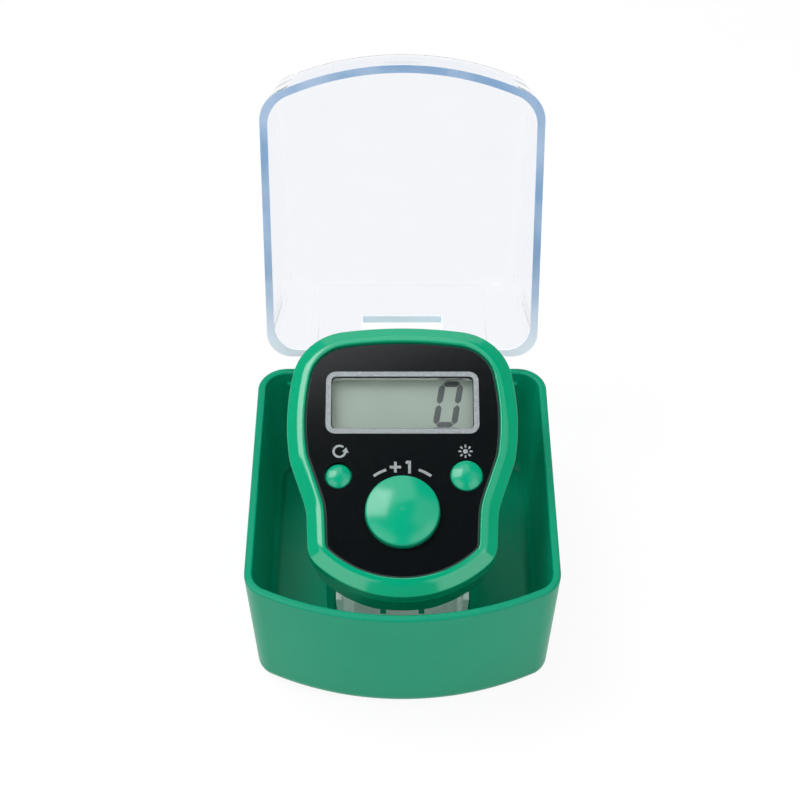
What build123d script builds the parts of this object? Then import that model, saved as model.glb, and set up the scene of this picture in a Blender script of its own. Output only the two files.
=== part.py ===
from build123d import *
import os
from math import atan2, cos, degrees, radians, sin, sqrt, tan

# Digital tasbih counter lying in its hinged display case. Millimetres, +Z up.
# The origin is the middle of the tray's underside, +X to the right, +Y to the hinge.

# Shared clearances and the overrun of every cut
overrun = 1.0
slide_clearance = 0.12
seat_clearance = 0.1
hinge_clearance = 0.06
screw_clearance = 0.05

# Case tray
tray_width = 42.2
tray_length = 46.3
tray_height = 20.5
tray_bow = 5.6
tray_corner_radius = 4.2
tray_wall = 1.1
tray_floor = 1.2
tray_foot_inset = 1.0
tray_foot_radius = 2.0
tray_inner_radius = 1.4
tray_rim_radius = 0.3
rib_thickness = 1.0
rib_front_y = -8.0
rib_back_y = 9.0
ledge_width = 34.0
ledge_reach = 0.7
ledge_height = 1.2

# Case lid, described closed and then swung open
lid_gap = 0.29
lid_wall = 1.05
lid_nest = 1.6
lid_back_depth = 22.4
lid_front_depth = 9.6
lid_crown = 0.7
lid_draft = 5.0
lid_top_radius = 2.6
lid_corner_radius = 3.6
lid_front_radius = 4.6
lid_open_angle = 110.0
pocket_width = 25.0
pocket_depth = 0.7
window_width = 11.8
window_low = 1.2
window_high = 9.0
snap_width = 5.0
snap_reach = 0.2
snap_low = 0.3
snap_height = 0.9

# Hinge: the lid's bar turns in the tray's hook
hinge_behind = 0.64
hinge_above = 0.18
bar_radius = 0.75
bar_length = 18.4
ear_width = 2.0
ear_height = 4.0
hook_gap = 0.3
hook_wall = 0.94
heel_radius = 3.2
gusset_drop = 5.0
mouth_from = 105.0
mouth_to = 165.0
notch_drop = 0.95
notch_depth = 0.5

# Counter shell: pear-shaped outline, its joint plane at height zero of the counter
counter_width = 31.3
counter_length = 38.8
shoulder_radius = 8.0
flank_radius = 7.9
foot_radius = 3.8
upper_height = 3.1
lower_height = 9.2
bead_width = 2.4
bead_slope = 1.7
bead_drop = 0.9
bead_radius = 1.9
bead_inner_radius = 0.2
crease_radius = 0.2
lower_radius = 2.5
lower_draft = 6.0
hull_back_radius = 7.0
hull_front_radius = 5.5
joint_chamfer = 0.15
case_wall = 1.5
case_floor = 1.4
counter_tilt = 21.0
counter_y = -0.95
counter_rise = 5.65

# Points of the outline, as shares of the counter's length and width
shoulder_share = 0.459
crest_share = 0.196
flank_share = -0.009
waist_share = -0.19
foot_share = -0.354
shoulder_width_share = 0.865
flank_width_share = 0.972
waist_width_share = 0.82
foot_width_share = 0.8

# Places on the face from its middle, as shares of the counter's width and length
display_width_share = 0.616
display_place_share = 0.2055
count_place_share = -0.201
side_button_width_share = 0.275
side_button_place_share = -0.0665
top_screw_width_share = 0.27
top_screw_place_share = 0.38
foot_screw_place_share = -0.392
board_screw_width_share = 0.368
board_screw_place_share = 0.022
chip_place_share = -0.204
cell_width_share = 0.1086
cell_place_share = 0.133
strap_width_share = 0.588
strap_place_share = -0.257

# Face plate and display
plate_thickness = 0.8
plate_sink = 0.5
plate_chamfer = 0.2
deck_thickness = 1.1
display_height = 7.5
display_radius = 0.7
window_flange = 0.6
glass_margin = 1.35
glass_height = 10.3
glass_thickness = 1.6
glass_chamfer = 0.25
guide_height = 7.7
guide_thickness = 1.4
strip_width = 1.0

# Circuit board
board_thickness = 1.0
board_margin = 2.4
board_drop = 1.6
chip_radius = 3.0
chip_height = 1.2
lamp_length = 1.8
lamp_width = 0.9
lamp_height = 0.7

# Buttons: cap radii, rise of the dome's top over the plate and travel
count_radius = 4.95
count_rise = 1.8
count_crown = 0.9
count_travel = 0.7
reset_radius = 1.75
reset_rise = 0.15
reset_crown = 0.5
reset_travel = 0.5
led_radius = 2.15
led_rise = 0.6
led_crown = 0.6
led_travel = 0.5
flange_width = 0.75
flange_thickness = 0.6
stem_radius = 1.1
stem_length = 0.4
dome_edge_radius = 0.3
switch_size = 4.4
small_switch_size = 3.2
plunger_radius = 0.9
plunger_height = 0.4
press_gap = 0.05

# Battery well, cells, contacts and door
cell_height = 2.6
cell_gap = 0.5
cell_edge_radius = 0.35
well_margin = 0.3
well_wall = 1.0
well_height = 3.6
door_ledge = 1.4
door_thickness = 0.9
door_radius = 1.6
door_tab_radius = 2.3
bridge_thickness = 0.3
bridge_width = 5.0
contact_thickness = 0.25
contact_width = 3.0
contact_length = 2.4
grip_count = 3
grip_pitch = 1.6
grip_width = 0.6
grip_length = 9.0
grip_depth = 0.3

# Screws
boss_radius = 1.5
post_radius = 2.0
case_screw_radius = 0.6
case_screw_head = 1.25
case_screw_head_height = 1.0
case_screw_length = 6.0
screw_sink = 2.6
boss_drop = 4.0
board_boss_radius = 1.2
board_screw_radius = 0.5
board_screw_head = 1.0
board_screw_head_height = 0.6
board_screw_length = 2.4
door_screw_radius = 0.5
door_screw_head = 1.0
door_screw_head_height = 0.5
door_screw_length = 2.6
door_boss_radius = 1.7
slot_width = 0.3
slot_depth = 0.3

# Finger strap
strap_thickness = 0.8
strap_width = 10.0
strap_bend_radius = 2.4
strap_bead_radius = 0.9
strap_tongue_width = 6.5
strap_shoulder_drop = 1.2
strap_bead_lift = 0.05
strap_slot_clearance = 0.1
ladder_pitch = 5.5
ladder_slot_width = 0.85
ladder_slot_length = 6.6
rib_clearance = 0.5

os.makedirs("parts", exist_ok=True)

# Derived places of the tray, lid and hinge
bow_radius = ((tray_width / 2) ** 2 + tray_bow**2) / (2 * tray_bow)
bow_centre_y = bow_radius - tray_length / 2
lid_inset = tray_wall + lid_gap
lid_rim_z = tray_height - lid_nest
lid_slope = tan(radians(lid_draft))
hinge_y = tray_length / 2 + hinge_behind
hinge_z = tray_height + hinge_above
hook_radius = bar_radius + hinge_clearance + hook_wall
hook_width = bar_length - 2 * ear_width - 2 * hook_gap
hinge_axis = Axis((0, hinge_y, hinge_z), (-1, 0, 0))

# Derived places on the counter's face
display_width = counter_width * display_width_share
display_y = counter_length * display_place_share
glass_width = display_width + 2 * glass_margin
count_y = counter_length * count_place_share
side_button_x = counter_width * side_button_width_share
side_button_y = counter_length * side_button_place_share
top_screw_x = counter_width * top_screw_width_share
top_screw_y = counter_length * top_screw_place_share
foot_screw_y = counter_length * foot_screw_place_share
board_screw_x = counter_width * board_screw_width_share
board_screw_y = counter_length * board_screw_place_share
chip_y = counter_length * chip_place_share
cell_radius = counter_width * cell_width_share
cell_spacing = 2 * cell_radius + cell_gap
cell_y = counter_length * cell_place_share
strap_loop_width = counter_width * strap_width_share
strap_y = counter_length * strap_place_share

# Derived heights of the counter, measured along its face normal
plate_top = upper_height - plate_sink
plate_seat = plate_top - plate_thickness
deck_under = plate_seat - deck_thickness
glass_top = deck_under - seat_clearance
glass_under = glass_top - glass_thickness
board_top = glass_under - board_drop
board_under = board_top - board_thickness
floor_top = case_floor - lower_height
bridge_top = floor_top + bridge_thickness
cell_top = bridge_top + cell_height
boss_end = -boss_drop
screw_seat = screw_sink - lower_height
counter_plane = Plane(
    origin=(0, counter_y, tray_height + counter_rise),
    x_dir=(1, 0, 0),
    z_dir=(0, -sin(radians(counter_tilt)), cos(radians(counter_tilt))),
)
counter_place = counter_plane.location

# Lowest point of the strap: its front edge stands on the tray's floor
strap_front_y = strap_y - strap_width / 2
strap_foot_z = tray_floor + seat_clearance - tray_height - counter_rise
strap_drop = (strap_front_y * sin(radians(counter_tilt)) - strap_foot_z) / cos(radians(counter_tilt))


def plan_face(inset, back_radius, front_radius, z):
    """Case outline seen from above, drawn in by an inset: three straight sides and a bowed front."""
    half = tray_width / 2 - inset
    back = tray_length / 2 - inset
    bow = bow_radius - inset
    front_corner = bow_centre_y - sqrt(bow**2 - half**2)
    outline = [
        Line((half, front_corner), (half, back)),
        Line((half, back), (-half, back)),
        Line((-half, back), (-half, front_corner)),
        ThreePointArc((-half, front_corner), (0, bow_centre_y - bow), (half, front_corner)),
    ]
    face = make_face(outline)
    face = fillet(face.vertices().group_by(Axis.Y)[-1], back_radius)
    face = fillet(face.vertices().group_by(Axis.Y)[0], front_radius)
    return Pos(0, 0, z) * face


def along_x(points, width):
    """Side profile given as (y, z) points, extruded to a width centred on the X axis."""
    face = make_face(Polyline([(y, z) for y, z in points], close=True))
    return extrude(Plane.YZ * face, width / 2, both=True)


def tray_hook():
    """C-shaped hook with a heel that stops the lid, a gusset under it and a mouth to snap the bar in."""
    heel_angle = radians(180 - lid_open_angle)
    wall_distance = lid_inset + hinge_behind + pocket_depth - seat_clearance
    heel_offset = sqrt(heel_radius**2 - wall_distance**2)
    heel = (
        wall_distance * cos(heel_angle) + heel_offset * sin(heel_angle),
        wall_distance * sin(heel_angle) - heel_offset * cos(heel_angle),
    )
    back = -hinge_behind - tray_wall / 2
    foot = -hinge_above - gusset_drop
    mouth = [(heel_radius * cos(radians(a)), heel_radius * sin(radians(a))) for a in (mouth_from, mouth_to)]
    profile = Circle(hook_radius)
    profile += make_face(Polyline((0, hook_radius), (0, 0), (hook_radius, 0), heel, close=True))
    profile += make_face(Polyline((back, 0), (back, foot), (0, foot), (hook_radius, 0), close=True))
    profile -= Circle(bar_radius + hinge_clearance)
    profile -= make_face(Polyline((0, 0), mouth[0], mouth[1], close=True))
    hook = extrude(Plane.YZ * profile, hook_width / 2, both=True)
    return Pos(0, hinge_y, hinge_z) * hook


def case_tray():
    """Open tray: drafted walls, rounded foot, sloping ribs under the counter, lid ledge and hook."""
    draft = degrees(atan2(tray_foot_inset, tray_height))
    inner_corner = tray_corner_radius - tray_wall
    rim = plan_face(0, tray_corner_radius, tray_corner_radius, tray_height)
    mouth = plan_face(tray_wall, inner_corner, inner_corner, tray_height)
    outer = extrude(rim, tray_height, dir=(0, 0, -1), taper=draft)
    outer = fillet(outer.faces().sort_by(Axis.Z)[0].edges(), tray_foot_radius)
    inner = extrude(mouth, tray_height - tray_floor, dir=(0, 0, -1), taper=draft)
    inner = fillet(inner.faces().sort_by(Axis.Z)[0].edges(), tray_inner_radius)
    tray = outer - inner
    tray = fillet(tray.faces().sort_by(Axis.Z)[-1].edges(), tray_rim_radius)
    rib_x = strap_loop_width / 2 + rib_clearance + rib_thickness / 2
    under = lower_height + seat_clearance
    slope = tan(radians(counter_tilt))
    under_z = tray_height + counter_rise - under / cos(radians(counter_tilt))
    foot = tray_floor - tray_floor / 2
    rib = along_x(
        [
            (rib_front_y, foot),
            (rib_back_y, foot),
            (rib_back_y, under_z + (rib_back_y - counter_y) * slope),
            (rib_front_y, under_z + (rib_front_y - counter_y) * slope),
        ],
        rib_thickness,
    )
    tray += [Pos(side * rib_x, 0, 0) * rib for side in (-1, 1)]
    ledge_top = lid_rim_z - seat_clearance
    ledge_back = tray_length / 2 - tray_wall / 2
    ledge_front = tray_length / 2 - tray_wall - ledge_reach
    tray += along_x(
        [
            (ledge_back, ledge_top),
            (ledge_front, ledge_top),
            (ledge_front, ledge_top - ledge_height / 2),
            (ledge_back, ledge_top - ledge_height - ledge_reach),
        ],
        ledge_width,
    )
    notch = along_x(
        [
            (tray_length / 2 - notch_depth, tray_height - notch_drop),
            (tray_length / 2 + overrun, tray_height - notch_drop),
            (tray_length / 2 + overrun, tray_height + overrun),
            (tray_length / 2 - notch_depth, tray_height + overrun),
        ],
        bar_length + 2 * hook_gap,
    )
    return tray - notch + tray_hook()


def lid_form(inset, drop, radius, start):
    """Wedge-shaped lid body: drafted walls under a crowned top that falls from the hinge to the front."""
    depth = lid_back_depth + overrun
    corners = (lid_corner_radius, lid_front_radius)
    walls = loft(
        [
            plan_face(inset + start * lid_slope, *corners, lid_rim_z + start),
            plan_face(inset + depth * lid_slope, *corners, lid_rim_z + depth),
        ],
        ruled=True,
    )
    back = tray_length / 2 - lid_inset
    middle = (lid_back_depth + lid_front_depth) / 2 + lid_crown - drop
    low = lid_rim_z + start
    crest = ThreePointArc(
        (back, lid_rim_z + lid_back_depth - drop),
        (0, lid_rim_z + middle),
        (-back, lid_rim_z + lid_front_depth - drop),
    )
    sides = Polyline(crest @ 1, (-back, low), (back, low), crest @ 0)
    profile = make_face([crest, *sides.edges()])
    body = walls & extrude(Plane.YZ * profile, tray_width, both=True)
    top = body.faces().sort_by(Axis.Z)[-1]
    return fillet(top.edges(), radius)


def pocket_cut(shift, width):
    """Recess over the full height of the lid's hinge end, parallel to that drafted wall."""
    back = tray_length / 2 - lid_inset - pocket_depth - shift
    low = lid_rim_z - 2 * overrun
    high = lid_rim_z + lid_back_depth + overrun
    return along_x(
        [
            (back + 2 * overrun * lid_slope, low),
            (back + tray_wall + lid_inset + pocket_depth + shift, low),
            (back + tray_wall + lid_inset + pocket_depth + shift, high),
            (back - (lid_back_depth + overrun) * lid_slope, high),
        ],
        width,
    )


def lid_ears():
    """Two gussets on the pocket wall with the hinge bar between them."""
    root = hinge_behind + lid_inset + pocket_depth + lid_wall / 2
    tip = root + ear_height * lid_slope
    floor = seat_clearance - hinge_above
    gusset = along_x(
        [
            (hinge_y - root, hinge_z + floor),
            (hinge_y, hinge_z + floor),
            (hinge_y + bar_radius * cos(radians(lid_draft)), hinge_z),
            (hinge_y + bar_radius * cos(radians(lid_draft)), hinge_z + bar_radius / 2),
            (hinge_y - tip + lid_wall / 2, hinge_z + ear_height),
            (hinge_y - tip, hinge_z + ear_height),
        ],
        ear_width,
    )
    ear_x = bar_length / 2 - ear_width / 2
    bar = Pos(0, hinge_y, hinge_z) * Rot(0, 90, 0) * Cylinder(bar_radius, bar_length)
    return [bar] + [Pos(side * ear_x, 0, 0) * gusset for side in (-1, 1)]


def case_lid():
    """Clear lid with pocket, window, ears and snap ridge, swung open about the hinge bar."""
    outer = lid_form(lid_inset, 0, lid_top_radius, 0) - pocket_cut(0, pocket_width)
    inner = lid_form(lid_inset + lid_wall, lid_wall, lid_top_radius - lid_wall, -overrun)
    inner -= pocket_cut(lid_wall, pocket_width + 2 * lid_wall)
    lid = outer - inner
    wall_y = tray_length / 2 - lid_inset - pocket_depth
    window = along_x(
        [
            (wall_y - lid_wall - window_high * lid_slope - overrun, lid_rim_z + window_low),
            (wall_y + pocket_depth, lid_rim_z + window_low),
            (wall_y + pocket_depth, lid_rim_z + window_high),
            (wall_y - lid_wall - window_high * lid_slope - overrun, lid_rim_z + window_high),
        ],
        window_width,
    )
    lid -= window
    ridge_low = lid_rim_z + snap_low
    corners = (lid_corner_radius, lid_front_radius)
    ridge = extrude(plan_face(lid_inset - snap_reach, *corners, ridge_low), snap_height)
    ridge -= extrude(plan_face(lid_inset + lid_wall / 2, *corners, ridge_low), snap_height)
    ridge &= Pos(0, -tray_length / 2, ridge_low) * Box(snap_width, tray_length / 2, tray_height)
    lid = lid + ridge
    lid += lid_ears()
    return lid.rotate(hinge_axis, lid_open_angle)


def pear(inset):
    """Counter outline: broad rounded head, drawn-in waist and bowed foot, offset inward."""
    head = counter_width / 2
    end = counter_length / 2
    shoulder = (head * shoulder_width_share, counter_length * shoulder_share)
    crest = (head, counter_length * crest_share)
    flank = (head * flank_width_share, counter_length * flank_share)
    narrow = (head * waist_width_share, counter_length * waist_share)
    toe = (head * foot_width_share, counter_length * foot_share)

    def mirrored(point):
        return (-point[0], point[1])

    outline = [
        ThreePointArc(mirrored(shoulder), (0, end), shoulder),
        ThreePointArc(shoulder, crest, flank),
        Line(flank, narrow),
        Line(narrow, toe),
        ThreePointArc(toe, (0, -end), mirrored(toe)),
        Line(mirrored(toe), mirrored(narrow)),
        Line(mirrored(narrow), mirrored(flank)),
        ThreePointArc(mirrored(flank), mirrored(crest), mirrored(shoulder)),
    ]
    face = make_face(outline)
    for corner, radius in (
        (shoulder, shoulder_radius),
        (flank, flank_radius),
        (narrow, flank_radius),
        (toe, foot_radius),
    ):
        for point in (corner, mirrored(corner)):
            face = fillet(face.vertices().sort_by_distance(point)[0], radius)
    return offset(face, -inset) if inset else face


def disc(radius, low, high, place):
    """Upright round bar from one height to another, at a place on the counter's face."""
    return Pos(place[0], place[1], low) * Cylinder(
        radius, high - low, align=(Align.CENTER, Align.CENTER, Align.MIN)
    )


def block(length, width, low, high, place, radius=0):
    """Upright plate from one height to another, with rounded corners where a radius is given."""
    face = RectangleRounded(length, width, radius) if radius else Rectangle(length, width)
    return Pos(place[0], place[1], low) * extrude(face, high - low)


def slab(inset, low, high):
    """Plate of the counter's outline, drawn in by an inset, from one height to another."""
    return Pos(0, 0, low) * extrude(pear(inset), high - low)


def button_places():
    """Place, cap radius and travel of the three buttons."""
    return {
        "count": ((0, count_y), count_radius, count_travel),
        "reset": ((-side_button_x, side_button_y), reset_radius, reset_travel),
        "led": ((side_button_x, side_button_y), led_radius, led_travel),
    }


def case_screw_places():
    """Places of the three screws that join the two shells."""
    return [(-top_screw_x, top_screw_y), (top_screw_x, top_screw_y), (0, foot_screw_y)]


def board_screw_places():
    """Places of the two screws that hold the board under the upper shell."""
    return [(-board_screw_x, board_screw_y), (board_screw_x, board_screw_y)]


def upper_case():
    """Upper shell: sloping bead over a crease, sunk plate seat, deck with openings, and screw bosses."""
    shell = slab(0, 0, upper_height)
    top = shell.faces().sort_by(Axis.Z)[-1]
    shell = chamfer(top.edges(), bead_slope, bead_drop, reference=top)
    shell = fillet(shell.faces().sort_by(Axis.Z)[-1].edges(), bead_radius)
    shell = fillet(shell.edges().group_by(Axis.Z)[2], crease_radius)
    shell = chamfer(shell.faces().sort_by(Axis.Z)[0].edges(), joint_chamfer)
    shell -= slab(bead_width, plate_seat, upper_height + overrun)
    shell = fillet(shell.faces().sort_by(Axis.Z)[-1].inner_wires()[0].edges(), bead_inner_radius)
    shell -= slab(case_wall, -overrun, deck_under)
    window_length = display_width + 2 * window_flange + 2 * seat_clearance
    window_depth = display_height + 2 * window_flange + 2 * seat_clearance
    low = deck_under - overrun
    high = plate_seat + overrun
    shell -= block(window_length, window_depth, low, high, (0, display_y), display_radius)
    for place, radius, _ in button_places().values():
        shell -= disc(radius + slide_clearance, low, high, place)
    for place in case_screw_places():
        shell += disc(boss_radius, boss_end, deck_under, place)
        shell -= disc(case_screw_radius + screw_clearance, boss_end - overrun, deck_under, place)
    for place in board_screw_places():
        shell += disc(board_boss_radius, board_top, deck_under, place)
        shell -= disc(board_screw_radius + screw_clearance, board_top - overrun, deck_under, place)
    return shell


def door_face(clearance):
    """Battery door outline: rounded oblong with a round tab for its screw."""
    length = cell_spacing + 2 * cell_radius + 2 * well_margin + 2 * door_ledge
    width = 2 * cell_radius + 2 * well_margin + 2 * door_ledge
    face = Pos(0, cell_y) * RectangleRounded(length - 2 * clearance, width - 2 * clearance, door_radius)
    return face + Pos(0, cell_y - width / 2) * Circle(door_tab_radius - clearance)


def door_screw_place():
    """Place of the door's screw, in the middle of its tab."""
    width = 2 * cell_radius + 2 * well_margin + 2 * door_ledge
    return (0, cell_y - width / 2 - door_ledge / 2)


def lower_form(inset, bottom):
    """Drafted body of the counter's outline, drawn in by an inset, from the joint plane down to a height."""
    return extrude(pear(inset), -bottom, dir=(0, 0, -1), taper=lower_draft)


def hull(inset, bottom, top):
    """Side form of the lower shell: flat underside that turns up to both ends in large rounds."""
    end = counter_length / 2 - inset
    face = make_face(Polyline((-end, top), (-end, bottom), (end, bottom), (end, top), close=True))
    for corner, radius in ((end, hull_back_radius), (-end, hull_front_radius)):
        face = fillet(face.vertices().sort_by_distance((corner, bottom))[0], radius - inset)
    return extrude(Plane.YZ * face, counter_width, both=True)


def lower_case():
    """Lower shell: rounded hull, battery well and door seat, screw posts and strap slots."""
    shell = fillet(lower_form(0, -lower_height).faces().sort_by(Axis.Z)[0].edges(), lower_radius)
    shell = chamfer(shell.faces().sort_by(Axis.Z)[-1].edges(), joint_chamfer)
    side_form = hull(0, -lower_height, overrun)
    shell &= side_form
    shell -= lower_form(case_wall, floor_top) & hull(case_wall, floor_top, overrun)
    length = cell_spacing + 2 * cell_radius + 2 * well_margin
    width = 2 * cell_radius + 2 * well_margin
    well_top = floor_top + well_height
    well = block(length + 2 * well_wall, width + 2 * well_wall, floor_top, well_top, (0, cell_y))
    shell += well & lower_form(case_wall / 2, -lower_height)
    shell += [disc(post_radius, floor_top, boss_end, place) & side_form for place in case_screw_places()]
    door_boss_top = floor_top + door_screw_length
    shell += disc(door_boss_radius, floor_top, door_boss_top, door_screw_place())
    low = -lower_height - overrun
    shell -= block(length, width, low, 0, (0, cell_y), door_radius)
    shell -= Pos(0, 0, low) * extrude(door_face(0), door_thickness + overrun)
    for place in case_screw_places():
        shell -= disc(case_screw_radius + slide_clearance, low, overrun, place)
        shell -= disc(case_screw_head + slide_clearance, low, screw_seat, place)
    shell -= disc(door_screw_radius + screw_clearance, -lower_height, door_boss_top, door_screw_place())
    for side in (-1, 1):
        place = (side * (strap_loop_width / 2 - strap_thickness / 2), strap_y)
        slot_length = strap_thickness + 2 * strap_slot_clearance
        slot_span = strap_tongue_width + 2 * strap_slot_clearance
        shell -= block(slot_length, slot_span, low, floor_top + overrun, place)
    return shell


def face_plate():
    """Black plate inside the bead, with a display opening and three button holes."""
    plate = slab(bead_width + seat_clearance, plate_seat, plate_top)
    plate = chamfer(plate.faces().sort_by(Axis.Z)[-1].edges(), plate_chamfer)
    low = plate_seat - overrun
    high = plate_top + overrun
    plate -= block(display_width, display_height, low, high, (0, display_y), display_radius)
    for place, radius, _ in button_places().values():
        plate -= disc(radius + slide_clearance, low, high, place)
    return plate


def lcd_window():
    """Stepped clear lens: a flange in the deck and a raised middle flush with the plate."""
    place = (0, display_y)
    flange_length = display_width + 2 * window_flange
    flange_width = display_height + 2 * window_flange
    flange = block(flange_length, flange_width, deck_under, plate_seat, place, display_radius)
    lens_length = display_width - 2 * seat_clearance
    lens_width = display_height - 2 * seat_clearance
    return flange + block(lens_length, lens_width, plate_seat, plate_top, place, display_radius)


def lcd_glass():
    """Display cell with ground edges."""
    glass = block(glass_width, glass_height, glass_under, glass_top, (0, display_y))
    return chamfer(glass.edges().filter_by(Axis.Z), glass_chamfer)


def light_guide():
    """Clear plate behind the display, between the two contact strips."""
    return block(glass_width, guide_height, glass_under - guide_thickness, glass_under, (0, display_y))


def contact_strips():
    """Two rubber connectors between the long edges of the glass and the board."""
    reach = glass_height / 2 - strip_width / 2
    span = glass_width - 2 * strip_width
    return [
        block(span, strip_width, board_top, glass_under, (0, display_y + side * reach)) for side in (-1, 1)
    ]


def circuit_board():
    """Board of the counter's outline, cleared for the case bosses and drilled for its own screws."""
    board = slab(board_margin, board_under, board_top)
    for place in case_screw_places():
        board -= disc(boss_radius + slide_clearance, board_under - overrun, board_top + overrun, place)
    for place in board_screw_places():
        board -= disc(board_screw_radius + slide_clearance, board_under - overrun, board_top + overrun, place)
    return board


def chip_cover():
    """Flat drop of resin under the board."""
    drop_radius = (chip_radius**2 + chip_height**2) / (2 * chip_height)
    ball = Pos(0, chip_y, board_under + drop_radius - chip_height) * Sphere(drop_radius)
    return ball & block(2 * chip_radius, 2 * chip_radius, board_under - chip_height, board_under, (0, chip_y))


def led_lamp():
    """Small lamp on the board, beside the upper edge of the light guide."""
    place = (0, display_y + glass_height / 2 + lamp_width)
    body_top = board_top + lamp_height / 2
    body = block(lamp_length, lamp_width, board_top, body_top, place)
    return body + block(lamp_length / 2, lamp_width, body_top, board_top + lamp_height, place)


def button(place, radius, rise, crown, base):
    """Domed cap, a flange held under the deck and a short stem towards its switch, as one turned form."""
    top = plate_top + rise
    flange = radius + flange_width
    flange_under = deck_under - flange_thickness
    dome_radius = (radius**2 + crown**2) / (2 * crown)
    half_way = radius / 2
    half_top = top - dome_radius + sqrt(dome_radius**2 - half_way**2)
    shoulder = (radius, top - crown)
    dome = ThreePointArc(shoulder, (half_way, half_top), (0, top))
    sides = Polyline(
        (0, top),
        (0, flange_under - stem_length),
        (base, flange_under - stem_length),
        (base, flange_under),
        (flange, flange_under),
        (flange, deck_under),
        (radius, deck_under),
        shoulder,
    )
    profile = make_face([dome, *sides.edges()])
    profile = fillet(profile.vertices().sort_by_distance(shoulder)[0], dome_edge_radius)
    return Pos(place[0], place[1]) * revolve(Plane.XZ * profile, Axis.Z)


def push_switch(place, size, travel):
    """Square switch body on the board with a round plunger, one travel below the button's stem."""
    plunger_top = deck_under - flange_thickness - stem_length - travel - press_gap
    body = block(size, size, board_top, plunger_top - plunger_height, place)
    return body + disc(plunger_radius, board_top, plunger_top, place)


def battery_cells():
    """Two button cells side by side on the bridge plate."""
    cells = []
    for side in (-1, 1):
        cell = disc(cell_radius, bridge_top, cell_top, (side * cell_spacing / 2, cell_y))
        cells.append(fillet(cell.edges().filter_by(GeomType.CIRCLE), cell_edge_radius))
    return cells


def battery_contacts():
    """Two bent springs: a pad under the board and a blade that meets the top of its cell."""
    contacts = []
    for side in (-1, 1):
        pad = block(contact_length, contact_width, board_under - contact_thickness, board_under, (0, 0))
        leg_x = contact_length / 2 - contact_thickness / 2
        leg = block(contact_thickness, contact_width, cell_top, board_under, (leg_x, 0))
        blade_top = cell_top + contact_thickness
        blade = block(contact_length, contact_width, cell_top, blade_top, (contact_length / 2, 0))
        turn = Rot(0, 0, 90 - 90 * side)
        pad_x = side * (cell_spacing / 2 - contact_length / 2)
        contacts.append(Pos(pad_x, cell_y) * turn * (pad + leg + blade))
    return contacts


def cell_bridge():
    """Plate on the door's inner side, under both cells."""
    length = cell_spacing + bridge_width
    return block(length, bridge_width, floor_top, bridge_top, (0, cell_y), bridge_thickness)


def battery_door():
    """Door with a step that fills the well opening, finger grooves and a countersunk screw tab."""
    outer = extrude(door_face(seat_clearance), door_thickness)
    door = Pos(0, 0, -lower_height) * outer
    length = cell_spacing + 2 * cell_radius + 2 * well_margin - 2 * seat_clearance
    width = 2 * cell_radius + 2 * well_margin - 2 * seat_clearance
    door += block(length, width, door_thickness - lower_height, floor_top, (0, cell_y), door_radius)
    for step in range(grip_count):
        groove_y = cell_y + (step - (grip_count - 1) / 2) * grip_pitch
        low = -lower_height - overrun
        door -= block(grip_length, grip_width, low, grip_depth - lower_height, (0, groove_y))
    place = door_screw_place()
    door -= disc(door_screw_radius + slide_clearance, -lower_height - overrun, floor_top, place)
    head_top = door_screw_head_height - lower_height
    return door - disc(door_screw_head + slide_clearance, -lower_height - overrun, head_top, place)


def screw(radius, length, head_radius, head_height, seat, place):
    """Round-headed screw driven upward from its seat, with a cross slot in the head."""
    body = disc(radius, seat, seat + length, place)
    body += disc(head_radius, seat - head_height, seat, place)
    head_under = seat - head_height
    for cross in ((head_radius, slot_width), (slot_width, head_radius)):
        body -= block(cross[0], cross[1], head_under - overrun, head_under + slot_depth, place)
    return body


def case_screws():
    """Three screws from the underside into the upper shell's bosses."""
    sizes = (case_screw_radius, case_screw_length, case_screw_head, case_screw_head_height)
    return [screw(*sizes, screw_seat, place) for place in case_screw_places()]


def board_screws():
    """Two screws through the board into the upper shell."""
    sizes = (board_screw_radius, board_screw_length, board_screw_head, board_screw_head_height)
    return [screw(*sizes, board_under, place) for place in board_screw_places()]


def door_screw():
    """Small screw that holds the battery door."""
    seat = door_screw_head_height - lower_height
    sizes = (door_screw_radius, door_screw_length, door_screw_head, door_screw_head_height)
    return screw(*sizes, seat, door_screw_place())


def finger_strap():
    """Ladder strap: a loop below the counter whose narrow, beaded ends are trapped inside the lower shell."""
    half = strap_loop_width / 2
    top = floor_top + strap_bead_radius + strap_bead_lift
    inner_half = half - strap_thickness
    inner_bend = strap_bend_radius - strap_thickness
    depth = strap_drop + top
    outer = Pos(0, top - depth / 2) * Rectangle(2 * half, depth)
    outer = fillet(outer.vertices().group_by(Axis.Y)[0], strap_bend_radius)
    inner = Pos(0, top - (depth - strap_thickness) / 2) * Rectangle(2 * inner_half, depth - strap_thickness)
    inner = fillet(inner.vertices().group_by(Axis.Y)[0], inner_bend)
    band = Plane.XZ * (outer - inner)
    strap = Pos(0, strap_y, 0) * extrude(band, strap_width / 2, both=True)
    shoulder = -lower_height - strap_shoulder_drop
    step = (strap_width - strap_tongue_width) / 2
    for edge in (-1, 1):
        step_y = strap_y + edge * (strap_tongue_width / 2 + step)
        strap -= block(2 * half + overrun, 2 * step, shoulder, top + overrun, (0, step_y))
    bead = Rot(90, 0, 0) * Cylinder(strap_bead_radius, strap_tongue_width)
    for side in (-1, 1):
        strap += Pos(side * (half - strap_thickness), strap_y, top) * bead
        low = -strap_drop - overrun
        high = strap_thickness - strap_drop + overrun
        strap -= block(ladder_slot_width, ladder_slot_length, low, high, (side * ladder_pitch / 2, strap_y))
    return strap


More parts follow.
